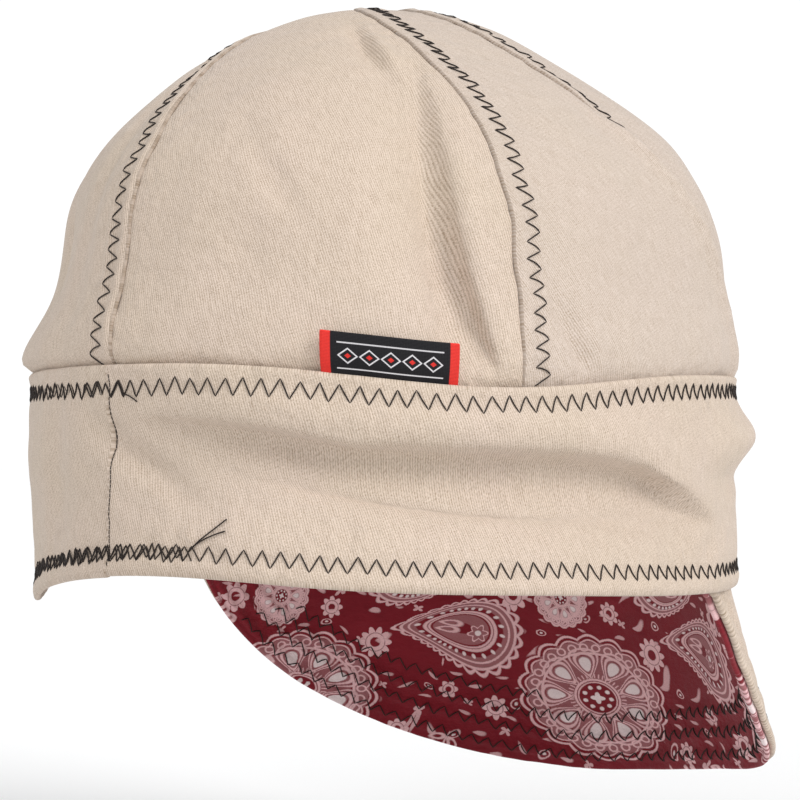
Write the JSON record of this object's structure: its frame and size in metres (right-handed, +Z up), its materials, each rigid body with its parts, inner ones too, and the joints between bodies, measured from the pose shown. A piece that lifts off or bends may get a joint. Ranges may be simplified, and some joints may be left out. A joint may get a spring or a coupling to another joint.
{
  "type": "welding cap",
  "caption": "Soft cloth welding cap: panelled domed crown, wide band with a long fold, small woven label and a hanging lined bill at the front.",
  "frame": {"origin": "middle of the head opening, in the plane of the band's lower edge, where the cap sits on a head", "axes": "+Z up through the crown, -Y towards the bill at the front, -X towards the wearer's right"},
  "size_m": [0.1872, 0.2163, 0.2198],
  "materials": {
    "twill": "khaki cotton twill, fine diagonal weave, matt",
    "printed_cotton": "soft burgundy cotton with a pale bandana print",
    "woven_tape": "woven black tape with red ends"
  },
  "bodies": {
    "root": {"band": "twill", "panel_back_right": "twill", "panel_side_right": "twill", "panel_front_right": "twill", "panel_front_left": "twill", "panel_side_left": "twill", "panel_back_left": "twill", "bill_outer": "twill", "bill_lining": "printed_cotton", "label": "woven_tape"}
  },
  "joints": []
}
